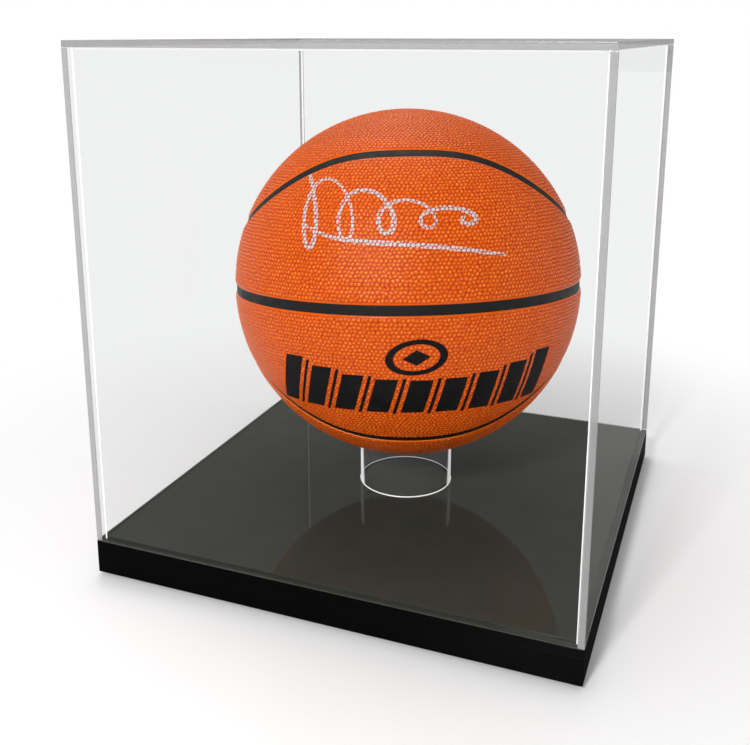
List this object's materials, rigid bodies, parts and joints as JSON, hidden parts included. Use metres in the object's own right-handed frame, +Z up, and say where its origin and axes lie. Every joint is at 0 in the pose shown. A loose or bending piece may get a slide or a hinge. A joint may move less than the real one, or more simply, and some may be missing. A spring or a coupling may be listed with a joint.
{
  "type": "ball display case",
  "caption": "Clear acrylic display case with a lift-off cover, a gloss black base and a short clear riser tube that carries a basketball.",
  "frame": {"origin": "on the surface that the feet stand on, under the middle of the square base", "axes": "+Z up, -Y towards the front of the case, +X to the right seen from the front"},
  "size_m": [0.313, 0.313, 0.3399],
  "materials": {
    "clear_acrylic": "clear cast acrylic with polished faces and bright polished edges",
    "tube_acrylic": "clear extruded acrylic tube, polished rims",
    "black_acrylic": "opaque black acrylic, high gloss, polished edges",
    "foot_rubber": "soft matt black stick-on pad",
    "ball_leather": "orange composite leather with moulded pebbles, semi-gloss",
    "carcass_rubber": "matt black moulded rubber, seen in the seams",
    "nylon_winding": "wound thread set in adhesive",
    "bladder_rubber": "smooth butyl rubber",
    "valve_rubber": "matt black moulded rubber"
  },
  "bodies": {
    "base": {"base_deck": "black_acrylic", "locating_plinth": "black_acrylic", "base_skirt_front": "black_acrylic", "base_skirt_back": "black_acrylic", "base_skirt_left": "black_acrylic", "base_skirt_right": "black_acrylic", "corner_block_front_left": "black_acrylic", "corner_block_front_right": "black_acrylic", "corner_block_back_left": "black_acrylic", "corner_block_back_right": "black_acrylic", "foot_front_left": "foot_rubber", "foot_front_right": "foot_rubber", "foot_back_left": "foot_rubber", "foot_back_right": "foot_rubber", "riser_tube": "tube_acrylic"},
    "cover": {"cover_top": "clear_acrylic", "cover_front": "clear_acrylic", "cover_back": "clear_acrylic", "cover_left": "clear_acrylic", "cover_right": "clear_acrylic"},
    "ball": {"ball_panel_upper_front_band": "ball_leather", "ball_panel_upper_front_cap": "ball_leather", "ball_panel_upper_back_band": "ball_leather", "ball_panel_upper_back_cap": "ball_leather", "ball_panel_lower_front_band": "ball_leather", "ball_panel_lower_front_cap": "ball_leather", "ball_panel_lower_back_band": "ball_leather", "ball_panel_lower_back_cap": "ball_leather", "ball_carcass": "carcass_rubber", "ball_winding": "nylon_winding", "ball_bladder": "bladder_rubber", "ball_valve": "valve_rubber"}
  },
  "joints": [
    {"name": "cover_lift", "type": "slide", "parent": "base", "child": "cover", "axis": [0, 0, 1], "range_m": [0, 0.34]},
    {"name": "ball_lift", "type": "slide", "parent": "base", "child": "ball", "axis": [0, 0, 1], "range_m": [0, 0.038]}
  ]
}
